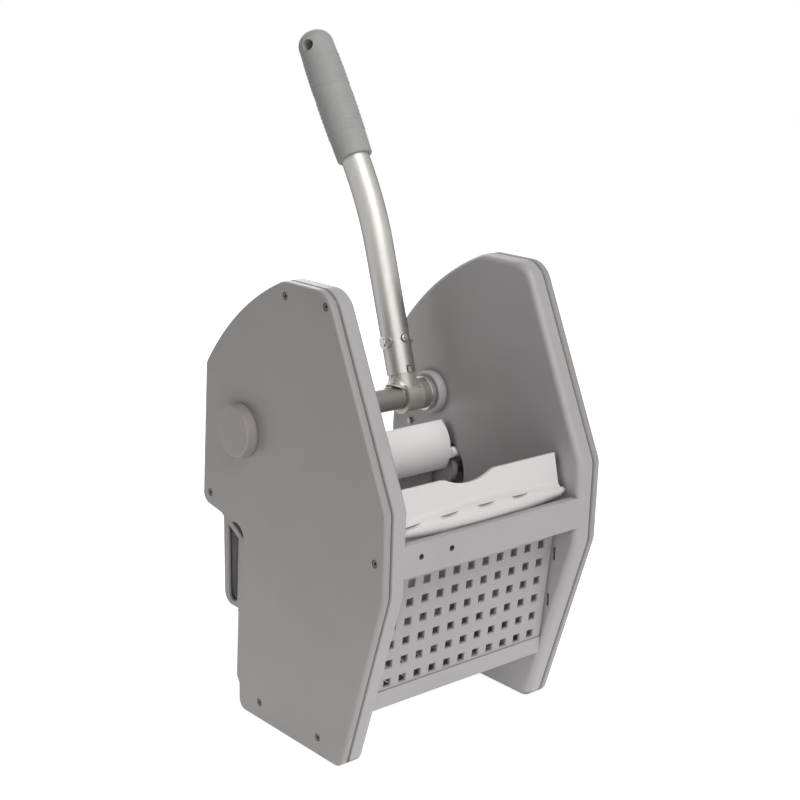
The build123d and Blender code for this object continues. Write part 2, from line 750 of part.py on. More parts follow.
with BuildPart() as bush_right:
    with BuildSketch(side_plane(x_in)):
        with Locations(shaft_point):
            Circle(BUSH_R)
    extrude(amount=-BUSH_T)
    chamfer(faces().sort_by(Axis.X)[0].edges(), BUSH_BEVEL)
    with BuildSketch(side_plane(x_in)):
        with Locations(shaft_point):
            Circle(BUSH_BARREL_R)
    extrude(amount=SHELL_WALL + SLOT_RIM_H)
    with BuildSketch(side_plane(x_bush)):
        with Locations(shaft_point):
            Circle(SHAFT_R + BEARING_GAP)
    extrude(amount=BUSH_T + SHELL_WALL + SLOT_RIM_H, mode=Mode.SUBTRACT)
bush_right.part.label = "bush_right"
export_step(bush_right.part, "parts/bush_right.step")

with BuildPart() as bush_left:
    mirror(bush_right.part, about=Plane.YZ)
bush_left.part.label = "bush_left"
export_step(bush_left.part, "parts/bush_left.step")

with BuildPart() as thrust_rings:
    with BuildSketch(side_plane(x_ring)):
        with Locations(shaft_point):
            Circle(RING_R)
            Circle(SHAFT_R, mode=Mode.SUBTRACT)
    extrude(amount=RING_T)
    chamfer(edges().filter_by(GeomType.CIRCLE).sort_by(SortBy.RADIUS)[-2:], RING_BEVEL)
    mirror(about=Plane.YZ)
thrust_rings.part.label = "thrust_rings"
export_step(thrust_rings.part, "parts/thrust_rings.step")

with BuildPart() as spacer:
    with BuildSketch(side_plane(HANDLE_X + HUB_RIGHT)):
        with Locations(shaft_point):
            Circle(SPACER_R)
            Circle(SHAFT_R, mode=Mode.SUBTRACT)
    extrude(amount=x_ring - HANDLE_X - HUB_RIGHT)
spacer.part.label = "spacer"
export_step(spacer.part, "parts/spacer.step")

# Cranks on the shaft ends, with a grooved pin each for the link
with BuildPart() as crank_right:
    with BuildSketch(side_plane(x_arm)):
        with Locations(shaft_point):
            Circle(CRANK_HUB_R)
        with Locations(crank_pin):
            Circle(EYE_R)
        make_hull()
    extrude(amount=ARM_T)
    with BuildSketch(side_plane(x_arm + ARM_T)):
        with Locations(crank_pin):
            Circle(LINK_PIN_R)
    extrude(amount=x_pin_end - x_arm - ARM_T)
    with BuildSketch(side_plane(x_clip)):
        with Locations(crank_pin):
            Circle(LINK_PIN_R)
            Circle(CLIP_GROOVE_R, mode=Mode.SUBTRACT)
    extrude(amount=CLIP_T, mode=Mode.SUBTRACT)
    with BuildSketch(side_plane(x_arm)):
        with Locations(shaft_point):
            Circle(SHAFT_R)
    extrude(amount=ARM_T, mode=Mode.SUBTRACT)
    with BuildSketch(cross_pin_plane(x_cross_pin)):
        Circle(CROSS_PIN_R)
    extrude(amount=CRANK_HUB_R, both=True, mode=Mode.SUBTRACT)
crank_right.part.label = "crank_right"
export_step(crank_right.part, "parts/crank_right.step")

with BuildPart() as crank_left:
    mirror(crank_right.part, about=Plane.YZ)
crank_left.part.label = "crank_left"
export_step(crank_left.part, "parts/crank_left.step")

with BuildPart() as cross_pins:
    for x in (-x_cross_pin, x_cross_pin):
        with BuildSketch(cross_pin_plane(x)):
            Circle(CROSS_PIN_R)
        extrude(amount=CRANK_HUB_R - CROSS_PIN_SHORT, both=True)
cross_pins.part.label = "cross_pins"
export_step(cross_pins.part, "parts/cross_pins.step")

with BuildPart() as link_right:
    with BuildSketch(side_plane(x_link)):
        with Locations(crank_pin, arm_pin):
            Circle(EYE_R)
        make_hull()
        with Locations(crank_pin, arm_pin):
            Circle(LINK_PIN_R + BEARING_GAP, mode=Mode.SUBTRACT)
    extrude(amount=LINK_T)
link_right.part.label = "link_right"
export_step(link_right.part, "parts/link_right.step")

with BuildPart() as link_left:
    mirror(link_right.part, about=Plane.YZ)
link_left.part.label = "link_left"
export_step(link_left.part, "parts/link_left.step")

# Press arms: pivot bore, square socket for the plate's stub and a grooved pin for the link
with BuildPart() as press_arm_right:
    with BuildSketch(side_plane(x_arm)):
        with Locations(arm_point):
            Circle(ARM_HUB_R)
        with Locations(arm_pin, stub_at):
            Circle(EYE_R)
        make_hull()
    extrude(amount=ARM_T)
    with BuildSketch(side_plane(x_arm + ARM_T)):
        with Locations(arm_pin):
            Circle(LINK_PIN_R)
    extrude(amount=x_pin_end - x_arm - ARM_T)
    with BuildSketch(side_plane(x_clip)):
        with Locations(arm_pin):
            Circle(LINK_PIN_R)
            Circle(CLIP_GROOVE_R, mode=Mode.SUBTRACT)
    extrude(amount=CLIP_T, mode=Mode.SUBTRACT)
    with BuildSketch(side_plane(x_arm)):
        with Locations(arm_point):
            Circle(PIVOT_PIN_R + BEARING_GAP)
    extrude(amount=ARM_T, mode=Mode.SUBTRACT)
    with BuildSketch(side_plane(x_arm)):
        with Locations(stub_at):
            Rectangle(STUB_KEY, STUB_KEY, rotation=STUB_ANGLE)
    extrude(amount=STUB_KEY_DEPTH, mode=Mode.SUBTRACT)
press_arm_right.part.label = "press_arm_right"
export_step(press_arm_right.part, "parts/press_arm_right.step")

with BuildPart() as press_arm_left:
    mirror(press_arm_right.part, about=Plane.YZ)
press_arm_left.part.label = "press_arm_left"
export_step(press_arm_left.part, "parts/press_arm_left.step")

with BuildPart() as pivot_pins:
    with BuildSketch(side_plane(x_in + PIVOT_SKIN)):
        with Locations(arm_point):
            Circle(PIVOT_PIN_R)
    extrude(amount=x_cover - x_in - PIVOT_SKIN)
    mirror(about=Plane.YZ)
pivot_pins.part.label = "pivot_pins"
export_step(pivot_pins.part, "parts/pivot_pins.step")

# Open retaining clips in the grooves of the link pins
with BuildPart() as crank_clips:
    with BuildSketch(side_plane(x_clip)):
        with Locations(crank_pin):
            Circle(CLIP_R)
            Circle(CLIP_GROOVE_R, mode=Mode.SUBTRACT)
        with Locations((crank_pin[0] + CLIP_R / 2, crank_pin[1])):
            Rectangle(CLIP_R, CLIP_GROOVE_R, mode=Mode.SUBTRACT)
    extrude(amount=CLIP_T)
    mirror(about=Plane.YZ)
crank_clips.part.label = "crank_clips"
export_step(crank_clips.part, "parts/crank_clips.step")

with BuildPart() as arm_clips:
    with BuildSketch(side_plane(x_clip)):
        with Locations(arm_pin):
            Circle(CLIP_R)
            Circle(CLIP_GROOVE_R, mode=Mode.SUBTRACT)
        with Locations((arm_pin[0] + CLIP_R / 2, arm_pin[1])):
            Rectangle(CLIP_R, CLIP_GROOVE_R, mode=Mode.SUBTRACT)
    extrude(amount=CLIP_T)
    mirror(about=Plane.YZ)
arm_clips.part.label = "arm_clips"
export_step(arm_clips.part, "parts/arm_clips.step")

# Rear press plate: a curved shell with end cheeks, and stubs that reach through the arc slots
press_mid = (PRESS_ARC_BACK, PRESS_ARC_Z)
press_sweep = PRESS_TO_ANGLE - PRESS_FROM_ANGLE
with BuildPart() as rear_press_plate:
    with BuildSketch(side_plane(0)):
        with BuildLine():
            face_arc = CenterArc(press_mid, PRESS_ARC_R, PRESS_FROM_ANGLE, press_sweep)
            back_arc = CenterArc(press_mid, PRESS_ARC_R - PRESS_T, PRESS_FROM_ANGLE, press_sweep)
            Line(face_arc @ 0, back_arc @ 0)
            Line(face_arc @ 1, back_arc @ 1)
        make_face()
    extrude(amount=x_press, both=True)
    face_rims = edges().filter_by(GeomType.CIRCLE).sort_by(SortBy.RADIUS)[-2:]
    fillet(edges().filter_by(Axis.X) + face_rims, PRESS_EDGE_R)
    with BuildSketch(side_plane(x_press)):
        with BuildLine():
            cheek_arc = CenterArc(press_mid, PRESS_ARC_R - PRESS_T / 2, PRESS_FROM_ANGLE, press_sweep)
            Line(cheek_arc @ 0, cheek_arc @ 1)
        make_face()
    extrude(amount=-CHEEK_T)
    with BuildSketch(side_plane(x_press)):
        with Locations(stub_at):
            Circle(STUB_R)
    extrude(amount=x_arm - x_press)
    with BuildSketch(side_plane(x_arm)):
        with Locations(stub_at):
            Rectangle(STUB_KEY, STUB_KEY, rotation=STUB_ANGLE)
    extrude(amount=STUB_KEY_DEPTH)
    mirror(about=Plane.YZ)
rear_press_plate.part.label = "rear_press_plate"
export_step(rear_press_plate.part, "parts/rear_press_plate.step")

# Front press plate: a leaning leaf on a crowned roll that turns on two nubs
flap_plane = Plane(
    origin=(0, front_y + FLAP_BACK, flap_axis_z),
    x_dir=(1, 0, 0),
    z_dir=(0, -flap_z, flap_y),
)
dent_y = flap_y * sin(radians(DENT_ANGLE)) - flap_z * cos(radians(DENT_ANGLE))
dent_z = flap_z * sin(radians(DENT_ANGLE)) + flap_y * cos(radians(DENT_ANGLE))
dent_plane = Plane(origin=flap_plane.origin, x_dir=(1, 0, 0), z_dir=(0, -dent_z, dent_y))
dent_places = [DENT_SHIFT + (i - (DENTS - 1) / 2) * DENT_PITCH for i in range(DENTS)]
scallop_left = (SCALLOP_X - SCALLOP_W / 2, FLAP_H)
scallop_right = (SCALLOP_X + SCALLOP_W / 2, FLAP_H)
with BuildPart() as front_press_plate:
    with BuildSketch(flap_plane) as leaf:
        with BuildLine():
            Polyline(
                scallop_left,
                (-x_press, FLAP_H),
                (-x_press, 0),
                (x_press, 0),
                (x_press, FLAP_H),
                scallop_right,
            )
            ThreePointArc(scallop_right, (SCALLOP_X, FLAP_H - SCALLOP_H), scallop_left)
        make_face()
        upper_corners = leaf.vertices().group_by(Axis.Y)[-1].sort_by(Axis.X)
        fillet(upper_corners[1:3], SCALLOP_LIP_R)
        fillet([upper_corners[0], upper_corners[3]], FLAP_CORNER_R)
    extrude(amount=-FLAP_T)
    with BuildSketch(flap_plane):
        with BuildLine():
            crown = ThreePointArc((-x_press, -ROLL_END_R), (0, -ROLL_MID_R), (x_press, -ROLL_END_R))
            Polyline(
                crown @ 1,
                (x_press, -NUB_R),
                (x_in + NUB_LONG, -NUB_R),
                (x_in + NUB_LONG, 0),
                (-x_in - NUB_LONG, 0),
                (-x_in - NUB_LONG, -NUB_R),
                (-x_press, -NUB_R),
                crown @ 0,
            )
        make_face()
    revolve(axis=Axis(flap_plane.origin, (1, 0, 0)))
    fillet(edges().filter_by(is_leaf_foot), ROLL_BLEND_R)
    with BuildSketch(dent_plane):
        with Locations(*[(x, roll_radius(x) - DENT_DEPTH + DENT_R) for x in dent_places]):
            Circle(DENT_R)
    extrude(amount=DENT_H / 2, both=True, mode=Mode.SUBTRACT)
front_press_plate.part.label = "front_press_plate"
export_step(front_press_plate.part, "parts/front_press_plate.step")

tee_screw_plane = Plane(
    origin=(HANDLE_X + HUB_RIGHT - TEE_SCREW_IN, front_y + SHAFT_BACK, SHAFT_Z),
    x_dir=(1, 0, 0),
    z_dir=(0, cos(radians(TEE_SCREW_ANGLE)), sin(radians(TEE_SCREW_ANGLE))),
)
# Cast tee: hub on the shaft, stem inside the tube, gusset and a key for the tube's notch
with BuildPart() as handle_tee:
    with BuildSketch(side_plane(HANDLE_X - HUB_LEFT)):
        with Locations(shaft_point):
            Circle(HUB_R)
    extrude(amount=HUB_LEFT + HUB_RIGHT)
    with BuildSketch(stem_plane(0)):
        Circle(stem_r)
    extrude(amount=STEM_LONG)
    with BuildSketch(stem_plane(0)):
        Circle(BRANCH_R)
    extrude(amount=TUBE_START)
    # hollow gusset on the left, and the casting ridge that runs up from it
    with BuildSketch(stem_front(0)):
        with BuildLine():
            flare = RadiusArc(
                (-BRANCH_R - GUSSET_OUT, GUSSET_LOW),
                (-BRANCH_R, GUSSET_LOW + GUSSET_UP),
                -GUSSET_OUT - GUSSET_UP,
            )
            Polyline(flare @ 1, (0, GUSSET_LOW + GUSSET_UP), (0, 0), (-BRANCH_R - GUSSET_OUT, 0), flare @ 0)
        make_face()
    extrude(amount=GUSSET_T / 2, both=True)
    with BuildSketch(stem_plane(GUSSET_LOW)):
        with Locations((-BRANCH_R, 0)):
            Rectangle(2 * RIDGE_PROUD, RIDGE_W)
    extrude(amount=TUBE_START - GUSSET_LOW)
    with BuildSketch(side_plane(HANDLE_X - HUB_LEFT)):
        with Locations(shaft_point):
            Circle(HUB_R + HUB_BEAD)
    extrude(amount=HUB_BEAD_T)
    with BuildSketch(stem_plane(TUBE_START)):
        with Locations((0, -stem_r)):
            Rectangle(NOTCH_W - 2 * KEY_GAP, 2 * (TUBE_R - stem_r))
    extrude(amount=NOTCH_H - KEY_GAP)
    with BuildSketch(side_plane(HANDLE_X)):
        with Locations(shaft_point):
            Circle(SHAFT_R)
    extrude(amount=BRANCH_R + GUSSET_OUT, both=True, mode=Mode.SUBTRACT)
    with BuildSketch(side_plane(HANDLE_X)):
        with Locations(bolt_point):
            Circle(BOLT_R)
    extrude(amount=TUBE_R, both=True, mode=Mode.SUBTRACT)
    with BuildSketch(stem_front(BUTTON_UP).offset(stem_r - BUTTON_DEEP)):
        Circle(BUTTON_R)
    extrude(amount=TUBE_R, mode=Mode.SUBTRACT)
    with BuildSketch(tee_screw_plane.offset(HUB_R - TEE_SCREW_DEEP)):
        Circle(TEE_SCREW_R)
    extrude(amount=HUB_R, mode=Mode.SUBTRACT)
handle_tee.part.label = "handle_tee"
export_step(handle_tee.part, "parts/handle_tee.step")

with BuildPart() as tee_screw:
    with BuildSketch(tee_screw_plane.offset(HUB_R - TEE_SCREW_DEEP)):
        Circle(TEE_SCREW_R)
    extrude(amount=TEE_SCREW_DEEP + TEE_SCREW_PROUD)
tee_screw.part.label = "tee_screw"
export_step(tee_screw.part, "parts/tee_screw.step")

# Bent handle tube
with BuildPart() as handle_tube:
    with BuildLine(side_plane(HANDLE_X)):
        low_run = Line(
            (SHAFT_BACK + TUBE_START * low_y, SHAFT_Z + TUBE_START * low_z),
            (SHAFT_BACK + BEND_START * low_y, SHAFT_Z + BEND_START * low_z),
        )
        bend = JernArc(
            (SHAFT_BACK + BEND_START * low_y, SHAFT_Z + BEND_START * low_z),
            (low_y, low_z),
            BEND_R,
            -bend_turn,
        )
        Line(
            (bend_back, bend_up),
            (bend_back + tube_top * high_y, bend_up + tube_top * high_z),
        )
    with BuildSketch(stem_plane(TUBE_START)):
        Circle(TUBE_R)
        Circle(TUBE_R - TUBE_WALL, mode=Mode.SUBTRACT)
    sweep()
    with BuildSketch(side_plane(HANDLE_X)):
        with Locations(bolt_point):
            Circle(BOLT_R)
    extrude(amount=2 * TUBE_R, both=True, mode=Mode.SUBTRACT)
    with BuildSketch(stem_front(BUTTON_UP)):
        Circle(BUTTON_R + BUTTON_GAP)
    extrude(amount=2 * TUBE_R, mode=Mode.SUBTRACT)
    with BuildSketch(stem_plane(TUBE_START)):
        with Locations((0, -TUBE_R)):
            Rectangle(NOTCH_W, TUBE_R)
    extrude(amount=NOTCH_H, mode=Mode.SUBTRACT)
handle_tube.part.label = "handle_tube"
export_step(handle_tube.part, "parts/handle_tube.step")

# Domed grip, turned about the upper handle axis, with a hanging hole
grip_plane = Plane(
    origin=(HANDLE_X, front_y + bend_back, bend_up),
    x_dir=(0, high_y, high_z),
    z_dir=(1, 0, 0),
)
hang_x = cos(radians(HANG_ANGLE))
hang_front = sin(radians(HANG_ANGLE))
hang_plane = Plane(
    origin=grip_plane.from_local_coords((GRIP_END - HANG_FROM_END, 0, 0)),
    x_dir=(0, high_y, high_z),
    z_dir=(-hang_x, -high_z * hang_front, high_y * hang_front),
)
with BuildPart() as grip:
    with BuildSketch(grip_plane) as grip_half:
        with BuildLine():
            belly = ThreePointArc(
                (GRIP_START, GRIP_R),
                ((GRIP_START + GRIP_END - GRIP_CAP_R) / 2, GRIP_BELLY_R),
                (GRIP_END - GRIP_CAP_R, GRIP_R),
            )
            RadiusArc((GRIP_END - GRIP_CAP_R, GRIP_R), (GRIP_END, GRIP_R - GRIP_CAP_R), GRIP_CAP_R)
            Polyline(
                (GRIP_END, GRIP_R - GRIP_CAP_R),
                (GRIP_END, 0),
                (tube_top, 0),
                (tube_top, TUBE_R),
                (GRIP_START, TUBE_R),
                (GRIP_START, GRIP_R),
            )
        make_face()
        fillet(grip_half.vertices().sort_by_distance((GRIP_START, GRIP_R, 0))[0], GRIP_LIP_R)
    revolve(axis=Axis(grip_plane.origin, grip_plane.x_dir))
    with BuildSketch(hang_plane):
        Circle(HANG_R)
    extrude(amount=2 * GRIP_R, both=True, mode=Mode.SUBTRACT)
grip.part.label = "grip"
export_step(grip.part, "parts/grip.step")

# Bolt through tube and stem, with a curved saddle under its head and a nut
with BuildPart() as handle_bolt:
    with BuildSketch(side_plane(HANDLE_X - TUBE_R - SADDLE_T)):
        with Locations(bolt_point):
            Circle(BOLT_HEAD_R)
    extrude(amount=-BOLT_HEAD_H)
    fillet(faces().sort_by(Axis.X)[0].edges(), BOLT_EDGE_R)
    with BuildSketch(side_plane(HANDLE_X - TUBE_R - SADDLE_T)):
        with Locations(bolt_point):
            Circle(BOLT_R)
    extrude(amount=SADDLE_T + 2 * TUBE_R + NUT_H + BOLT_TAIL)
handle_bolt.part.label = "handle_bolt"
export_step(handle_bolt.part, "parts/handle_bolt.step")

with BuildPart() as handle_nut:
    with BuildSketch(side_plane(HANDLE_X + TUBE_R)):
        with Locations(bolt_point):
            RegularPolygon(NUT_R, 6)
            Circle(BOLT_R, mode=Mode.SUBTRACT)
    extrude(amount=NUT_H)
handle_nut.part.label = "handle_nut"
export_step(handle_nut.part, "parts/handle_nut.step")

with BuildPart() as bolt_saddle:
    with BuildSketch(stem_plane(BOLT_UP - SADDLE_H / 2)):
        Circle(TUBE_R + SADDLE_T)
        Circle(TUBE_R, mode=Mode.SUBTRACT)
    extrude(amount=SADDLE_H)
    with BuildSketch(side_plane(HANDLE_X)):
        with Locations(bolt_point):
            Ellipse(SADDLE_W / 2, SADDLE_H / 2, rotation=-LEAN_LOW)
    extrude(amount=-2 * TUBE_R, mode=Mode.INTERSECT)
    with BuildSketch(side_plane(HANDLE_X)):
        with Locations(bolt_point):
            Circle(BOLT_R)
    extrude(amount=-2 * TUBE_R, mode=Mode.SUBTRACT)
bolt_saddle.part.label = "bolt_saddle"
export_step(bolt_saddle.part, "parts/bolt_saddle.step")

# Round button that stands in a hole of the tube, seated in the stem
with BuildPart() as tube_button:
    with BuildSketch(stem_front(BUTTON_UP).offset(stem_r - BUTTON_DEEP)):
        Circle(BUTTON_R)
    extrude(amount=BUTTON_DEEP + TUBE_R - stem_r + BUTTON_PROUD)
    fillet(faces().sort_by(Axis.Y)[0].edges(), BUTTON_EDGE_R)
tube_button.part.label = "tube_button"
export_step(tube_button.part, "parts/tube_button.step")
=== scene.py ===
import json
import math
import bpy
from mathutils import Matrix, Vector


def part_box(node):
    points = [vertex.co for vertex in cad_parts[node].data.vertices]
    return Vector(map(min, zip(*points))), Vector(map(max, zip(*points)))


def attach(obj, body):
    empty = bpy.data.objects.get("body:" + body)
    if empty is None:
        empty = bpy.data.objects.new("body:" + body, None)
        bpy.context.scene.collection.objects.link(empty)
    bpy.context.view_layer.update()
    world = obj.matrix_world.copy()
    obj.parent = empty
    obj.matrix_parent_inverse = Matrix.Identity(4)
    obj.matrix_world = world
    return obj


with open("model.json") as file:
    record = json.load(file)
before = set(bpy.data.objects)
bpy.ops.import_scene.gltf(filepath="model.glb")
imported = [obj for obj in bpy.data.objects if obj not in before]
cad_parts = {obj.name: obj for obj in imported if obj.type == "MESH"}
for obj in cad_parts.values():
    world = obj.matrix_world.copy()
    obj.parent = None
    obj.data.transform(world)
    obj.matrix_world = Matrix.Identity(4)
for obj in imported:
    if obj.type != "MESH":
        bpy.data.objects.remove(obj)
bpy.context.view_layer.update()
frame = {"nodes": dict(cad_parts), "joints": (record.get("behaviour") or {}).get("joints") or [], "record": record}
nodes = frame["nodes"]
record = frame["record"]
scene = bpy.context.scene
shaft = Vector(next(j["pos_m"] for j in frame["joints"] if j["name"] == "handle_swing"))
sieve_low, sieve_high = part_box("sieve")
hang_hole = next(m for m in record["mounts"] if m["name"] == "hang_hole")

# Body and sieve, in metres like everything here
SEAM_X = 0.1345             # parting line between body and cover
SEAM_HALF = 0.0026          # how far its painted shade reaches to each side
SIEVE_LEAN = 0.12           # run of the sieve's face to its height
SIEVE_SHADE_DEPTHS = (0.0002, 0.0040)      # depth behind that face where the painted shade starts and is full

# Grip
GRIP_LEAN = math.radians(31.2)
GRIP_R = 0.0200
GRIP_BELLY = 0.0013         # how much fuller the grip is in its middle
GRIP_BELLY_AT = 0.06635     # middle of the grip, below the hanging hole
GRIP_HALF = 0.06925
RING_HALF = 0.0015          # half the width of a ring
RING_HIGH = 0.0006
RING_SEAT = 0.00008         # how far a ring's edges lie under the grip's skin
RING_ROOT = 0.0008          # depth of a ring's hidden inside

# Tee casting
BRANCH_LEAN = math.radians(16.7)
BRANCH_R = 0.0149
HUB_R = 0.0170
HUB_LEFT = 0.0090           # from the branch's axis to the hub's left end
TEE_FILLET_R = 0.0060
FILLET_SUNK = 0.0010        # depth of the fillet's hidden root
COLLAR_PAST = 0.0020        # how far the collar reaches past the fillet
COLLAR_ROOT = 0.0070        # from the branch's axis to the collar's hidden end
COLLAR_PROUD = 0.0001       # its height over the hub where it carries the fillet
COLLAR_HIDDEN = 0.0006      # its depth under the hub's skin elsewhere
COLLAR_THICK = 0.0022
# its rounded left edge: distance in from the end, and depth under the outer radius
COLLAR_EDGE = ((0.0016, 0.0), (0.0005, 0.0003), (0.0, 0.0010), (0.0006, 0.0018))

# Finishes
ROUGH_SPREAD = 0.12         # share by which roughness varies
CLOUD_SPAN = (0.3, 0.7)     # noise values of the darkest and lightest tone
CREVICE_SHADE_SPAN = (0.35, 0.9)  # open share of the surroundings at full painted shade and at none
PORE_DEPTH = 0.0004

# Camera solved from the photo, angles in degrees
AZIMUTH = -40.17
ELEVATION = 15.10
ROLL = 0.83
EYE_FROM_SHAFT = (-1.02456, -1.29211, 0.45341)
SENSOR_MM = 36.0
LENS_MM = 71.371
SIGHT_END = 50.0

# Light: place, side of the square soft box and watts of each lamp
LAMP_AIM = (0.0, 0.0, 0.3)
LAMPS = {
    "high": ((-0.3, -1.6, 2.4), 1.6, 40.0),
    "front": ((-0.2, -2.65, 0.85), 1.6, 8.0),
    "back": ((0.9, 2.2, 1.5), 1.6, 18.0),
    "eye": ((-1.55, -1.95, 1.3), 0.5, 7.0),
}
AMBIENT = 0.12
WHITE = (1.0, 1.0, 1.0, 1.0)
AMBIENT_COLOUR = (1.0, 0.995, 0.99, 1.0)
FLOOR_SIZE = 12.0
FLOOR_DROP = 0.0005         # keeps the floor clear of the feet
FLOOR_COLOUR = (0.8, 0.8, 0.8, 1.0)
FLOOR_ROUGH = 0.9
FLOOR_GLOW = 0.85           # lifts the open floor to white in the picture
FLOOR_BOUNCE = 0.42         # light that the floor gives back under the part
BOUNCE_SPAN = (0.3, 1.1)    # distance from the middle where it starts to fade and where it ends

X_AXIS = Vector((1, 0, 0))
sieve_front = sieve_low.y + SIEVE_LEAN * sieve_high.z


def srgb(r, g, b):
    """Scene-linear colour, opaque, from display values 0 to 255."""
    def linear(v):
        v /= 255
        return v / 12.92 if v <= 0.04045 else ((v + 0.055) / 1.055) ** 2.4
    return (linear(r), linear(g), linear(b), 1.0)


def node_of(tree, kind, **settings):
    """Add a shader node and set its inputs or properties by name."""
    made = tree.nodes.new(kind)
    for key, value in settings.items():
        if key in made.inputs:
            made.inputs[key].default_value = value
        else:
            setattr(made, key, value)
    return made


def worked(tree, operation, *values):
    """Result of one sum on numbers or on the outputs of other nodes."""
    made = node_of(tree, "ShaderNodeMath", operation=operation)
    for socket, value in zip(made.inputs, values):
        if isinstance(value, float):
            socket.default_value = value
        else:
            tree.links.new(value, socket)
    return made.outputs[0]


def eased(tree, measure, span, values):
    """Value that goes smoothly from the first to the second as the measure crosses a span."""
    made = node_of(tree, "ShaderNodeMapRange", interpolation_type="SMOOTHSTEP")
    for key, value in zip(("From Min", "From Max", "To Min", "To Max"), span + values):
        made.inputs[key].default_value = value
    tree.links.new(measure, made.inputs["Value"])
    return made.outputs["Result"]


def darkened(tree, colour, measure, span, shares):
    """Colour times a share that is eased from the first to the second as the measure crosses a span."""
    product = node_of(tree, "ShaderNodeVectorMath", operation="SCALE")
    tree.links.new(colour, product.inputs[0])
    tree.links.new(eased(tree, measure, span, shares), product.inputs["Scale"])
    return product.outputs[0]


def surface(name, colour, rough, metal=0.0, mottle=0.05, scale=9.0, grain=0.0, grain_scale=900.0,
            stretch=(1, 1, 1), edge=1.0, crevice_shade=None, seam=None, depth=None):
    """Material with clouds of tone, uneven roughness, a fine grain and, on request, painted shade: in crevices
    (reach and share of the colour left), along the parting seam's groove, or deeper behind the face of the sieve."""
    material = bpy.data.materials.new(name)
    material.use_nodes = True
    tree = material.node_tree
    shader = tree.nodes["Principled BSDF"]
    shader.inputs["Metallic"].default_value = metal
    shader.inputs["Specular Tint"].default_value = (edge, edge, edge, 1.0)

    # clouds of tone and of roughness
    where = node_of(tree, "ShaderNodeTexCoord")
    place = node_of(tree, "ShaderNodeMapping", Scale=stretch)
    clouds = node_of(tree, "ShaderNodeTexNoise", Scale=scale, Detail=6.0, Roughness=0.6)
    tone = node_of(tree, "ShaderNodeValToRGB")
    low, high = tone.color_ramp.elements
    low.position, high.position = CLOUD_SPAN
    low.color = tuple(c * (1 - mottle) for c in colour[:3]) + (1.0,)
    high.color = tuple(min(1.0, c * (1 + mottle)) for c in colour[:3]) + (1.0,)
    spread = node_of(tree, "ShaderNodeMapRange")
    spread.inputs["To Min"].default_value = rough * (1 - ROUGH_SPREAD)
    spread.inputs["To Max"].default_value = min(1.0, rough * (1 + ROUGH_SPREAD))
    tree.links.new(where.outputs["Object"], place.inputs["Vector"])
    tree.links.new(place.outputs["Vector"], clouds.inputs["Vector"])
    tree.links.new(clouds.outputs["Fac"], tone.inputs["Fac"])
    tree.links.new(clouds.outputs["Fac"], spread.inputs["Value"])
    tree.links.new(spread.outputs["Result"], shader.inputs["Roughness"])

    # painted shade
    painted = tone.outputs["Color"]
    # painted shade in crevices and corners between parts: darker where ambient occlusion finds the surroundings
    # closed
    if crevice_shade is not None:
        reach, left_over = crevice_shade
        corner = node_of(tree, "ShaderNodeAmbientOcclusion", Distance=reach, samples=8)
        painted = darkened(tree, painted, corner.outputs["AO"], CREVICE_SHADE_SPAN, (left_over, 1.0))
    if seam is not None or depth is not None:
        apart = node_of(tree, "ShaderNodeSeparateXYZ")
        tree.links.new(where.outputs["Object"], apart.inputs[0])
    # painted shade in the parting seam's groove: darker close to the seam's plane on either side
    if seam is not None:
        side = worked(tree, "ABSOLUTE", apart.outputs["X"])
        off = worked(tree, "ABSOLUTE", worked(tree, "SUBTRACT", side, SEAM_X))
        painted = darkened(tree, painted, off, (0.0, SEAM_HALF), (seam, 1.0))
    # painted shade in the sieve's holes: darker the deeper a point lies behind the sieve's face
    if depth is not None:
        sloped = worked(tree, "MULTIPLY_ADD", apart.outputs["Z"], SIEVE_LEAN, apart.outputs["Y"])
        behind = worked(tree, "SUBTRACT", sloped, sieve_front)
        painted = darkened(tree, painted, behind, SIEVE_SHADE_DEPTHS, (1.0, depth))
    tree.links.new(painted, shader.inputs["Base Color"])

    # fine grain
    if grain:
        pores = node_of(tree, "ShaderNodeTexNoise", Scale=grain_scale, Detail=2.0)
        bump = node_of(tree, "ShaderNodeBump", Strength=grain, Distance=PORE_DEPTH)
        tree.links.new(place.outputs["Vector"], pores.inputs["Vector"])
        tree.links.new(pores.outputs["Fac"], bump.inputs["Height"])
        tree.links.new(bump.outputs["Normal"], shader.inputs["Normal"])
    return material


